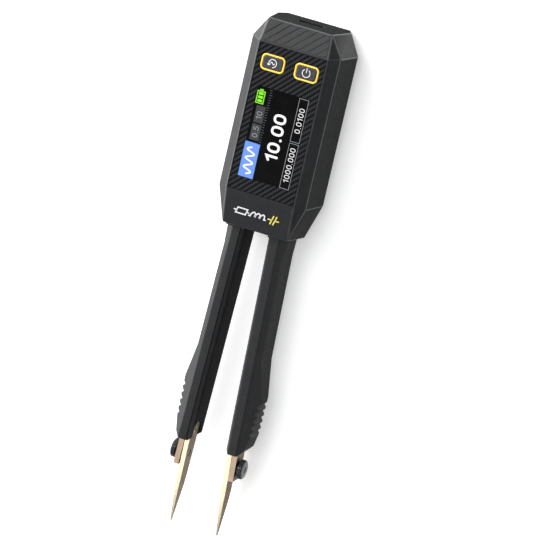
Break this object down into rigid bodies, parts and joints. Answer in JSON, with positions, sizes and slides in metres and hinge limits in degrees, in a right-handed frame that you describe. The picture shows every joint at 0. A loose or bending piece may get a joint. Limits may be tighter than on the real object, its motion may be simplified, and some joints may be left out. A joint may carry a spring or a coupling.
{
  "type": "lcr meter",
  "caption": "Tweezers-type component tester: faceted head with display and keys, two sprung arms that squeeze together, knurled screws clamping contact blades.",
  "frame": {"origin": "on the resting plane under the middle of the whole length", "axes": "+Z the way the display faces, +Y along the length towards the charging socket, X across"},
  "size_m": [0.0314, 0.1625, 0.0182],
  "materials": {
    "body": "fine matt moulded, charcoal",
    "panel": "gloss black with diagonal carbon weave",
    "screen": "glossy display glass",
    "key": "speckled dark grey",
    "ring": "yellow light guide",
    "gold": "gold plated, polished",
    "brass": "satin",
    "black_metal": "blackened, knurled",
    "steel": "satin",
    "board": "solder mask",
    "cell": "pouch foil",
    "dark_plastic": "moulded",
    "foam": "foam",
    "wire": "silicone insulation"
  },
  "bodies": {
    "head": {"front_shell": "body", "rear_shell": "body", "front_panel": "panel", "display_module": "screen", "main_board": "board", "upper_board": "board", "board_header": "dark_plastic", "shield_can": "steel", "processor_chip": "dark_plastic", "battery": "cell", "battery_pad": "foam", "usb_socket": "steel", "case_screw_1": "steel", "case_screw_2": "steel", "case_screw_3": "steel", "case_screw_4": "steel", "mode_ring": "ring", "mode_switch": "steel", "power_ring": "ring", "power_switch": "steel", "left_pivot_pin": "steel", "left_spring": "steel", "left_lead": "wire", "right_pivot_pin": "steel", "right_spring": "steel", "right_lead": "wire"},
    "mode_button": {"mode_key": "key", "mode_plunger": "dark_plastic"},
    "power_button": {"power_key": "key", "power_plunger": "dark_plastic"},
    "left_arm": {"left_arm_housing": "body", "left_arm_cover": "body", "left_conductor": "brass", "left_clamp_strip": "brass", "left_blade": "gold", "left_locating_peg": "steel"},
    "left_washer": {"left_washer": "black_metal"},
    "left_thumb_screw": {"left_thumb_screw": "black_metal"},
    "right_arm": {"right_arm_housing": "body", "right_arm_cover": "body", "right_conductor": "brass", "right_clamp_strip": "brass", "right_blade": "gold", "right_locating_peg": "steel"},
    "right_washer": {"right_washer": "black_metal"},
    "right_thumb_screw": {"right_thumb_screw": "black_metal"}
  },
  "joints": [
    {"name": "mode_press", "type": "slide", "parent": "head", "child": "mode_button", "axis": [0, 0, -1], "range_m": [0, 0.0004], "stiffness_N_per_m": 400, "springref_m": -0.0008},
    {"name": "power_press", "type": "slide", "parent": "head", "child": "power_button", "axis": [0, 0, -1], "range_m": [0, 0.0004], "stiffness_N_per_m": 400, "springref_m": -0.0008},
    {"name": "left_squeeze", "type": "hinge", "parent": "head", "child": "left_arm", "pos_m": [-0.0066, 0.024, 0.0083], "axis": [0, 0, 1], "range_deg": [0, 4.1], "stiffness_Nm_per_rad": 1, "springref_deg": -2.86},
    {"name": "left_screw_travel", "type": "slide", "parent": "left_arm", "child": "left_washer", "axis": [-0.9995, 0.0305, 0], "range_m": [0, 0.00112]},
    {"name": "left_screw_turn", "type": "hinge", "parent": "left_washer", "child": "left_thumb_screw", "pos_m": [-0.0104, -0.05782, 0.009], "axis": [-0.9995, 0.0305, 0], "range_deg": [0, 901]},
    {"name": "right_squeeze", "type": "hinge", "parent": "head", "child": "right_arm", "pos_m": [0.0066, 0.024, 0.0083], "axis": [0, 0, -1], "range_deg": [0, 4.1], "stiffness_Nm_per_rad": 1, "springref_deg": -2.86},
    {"name": "right_screw_travel", "type": "slide", "parent": "right_arm", "child": "right_washer", "axis": [0.9995, 0.0305, 0], "range_m": [0, 0.00112]},
    {"name": "right_screw_turn", "type": "hinge", "parent": "right_washer", "child": "right_thumb_screw", "pos_m": [0.0104, -0.05782, 0.009], "axis": [0.9995, 0.0305, 0], "range_deg": [0, 901]}
  ],
  "couplings": [
    {"joint": "left_screw_turn", "follows": "left_screw_travel", "rad_per_m": 13963},
    {"joint": "right_screw_turn", "follows": "right_screw_travel", "rad_per_m": 13963}
  ]
}
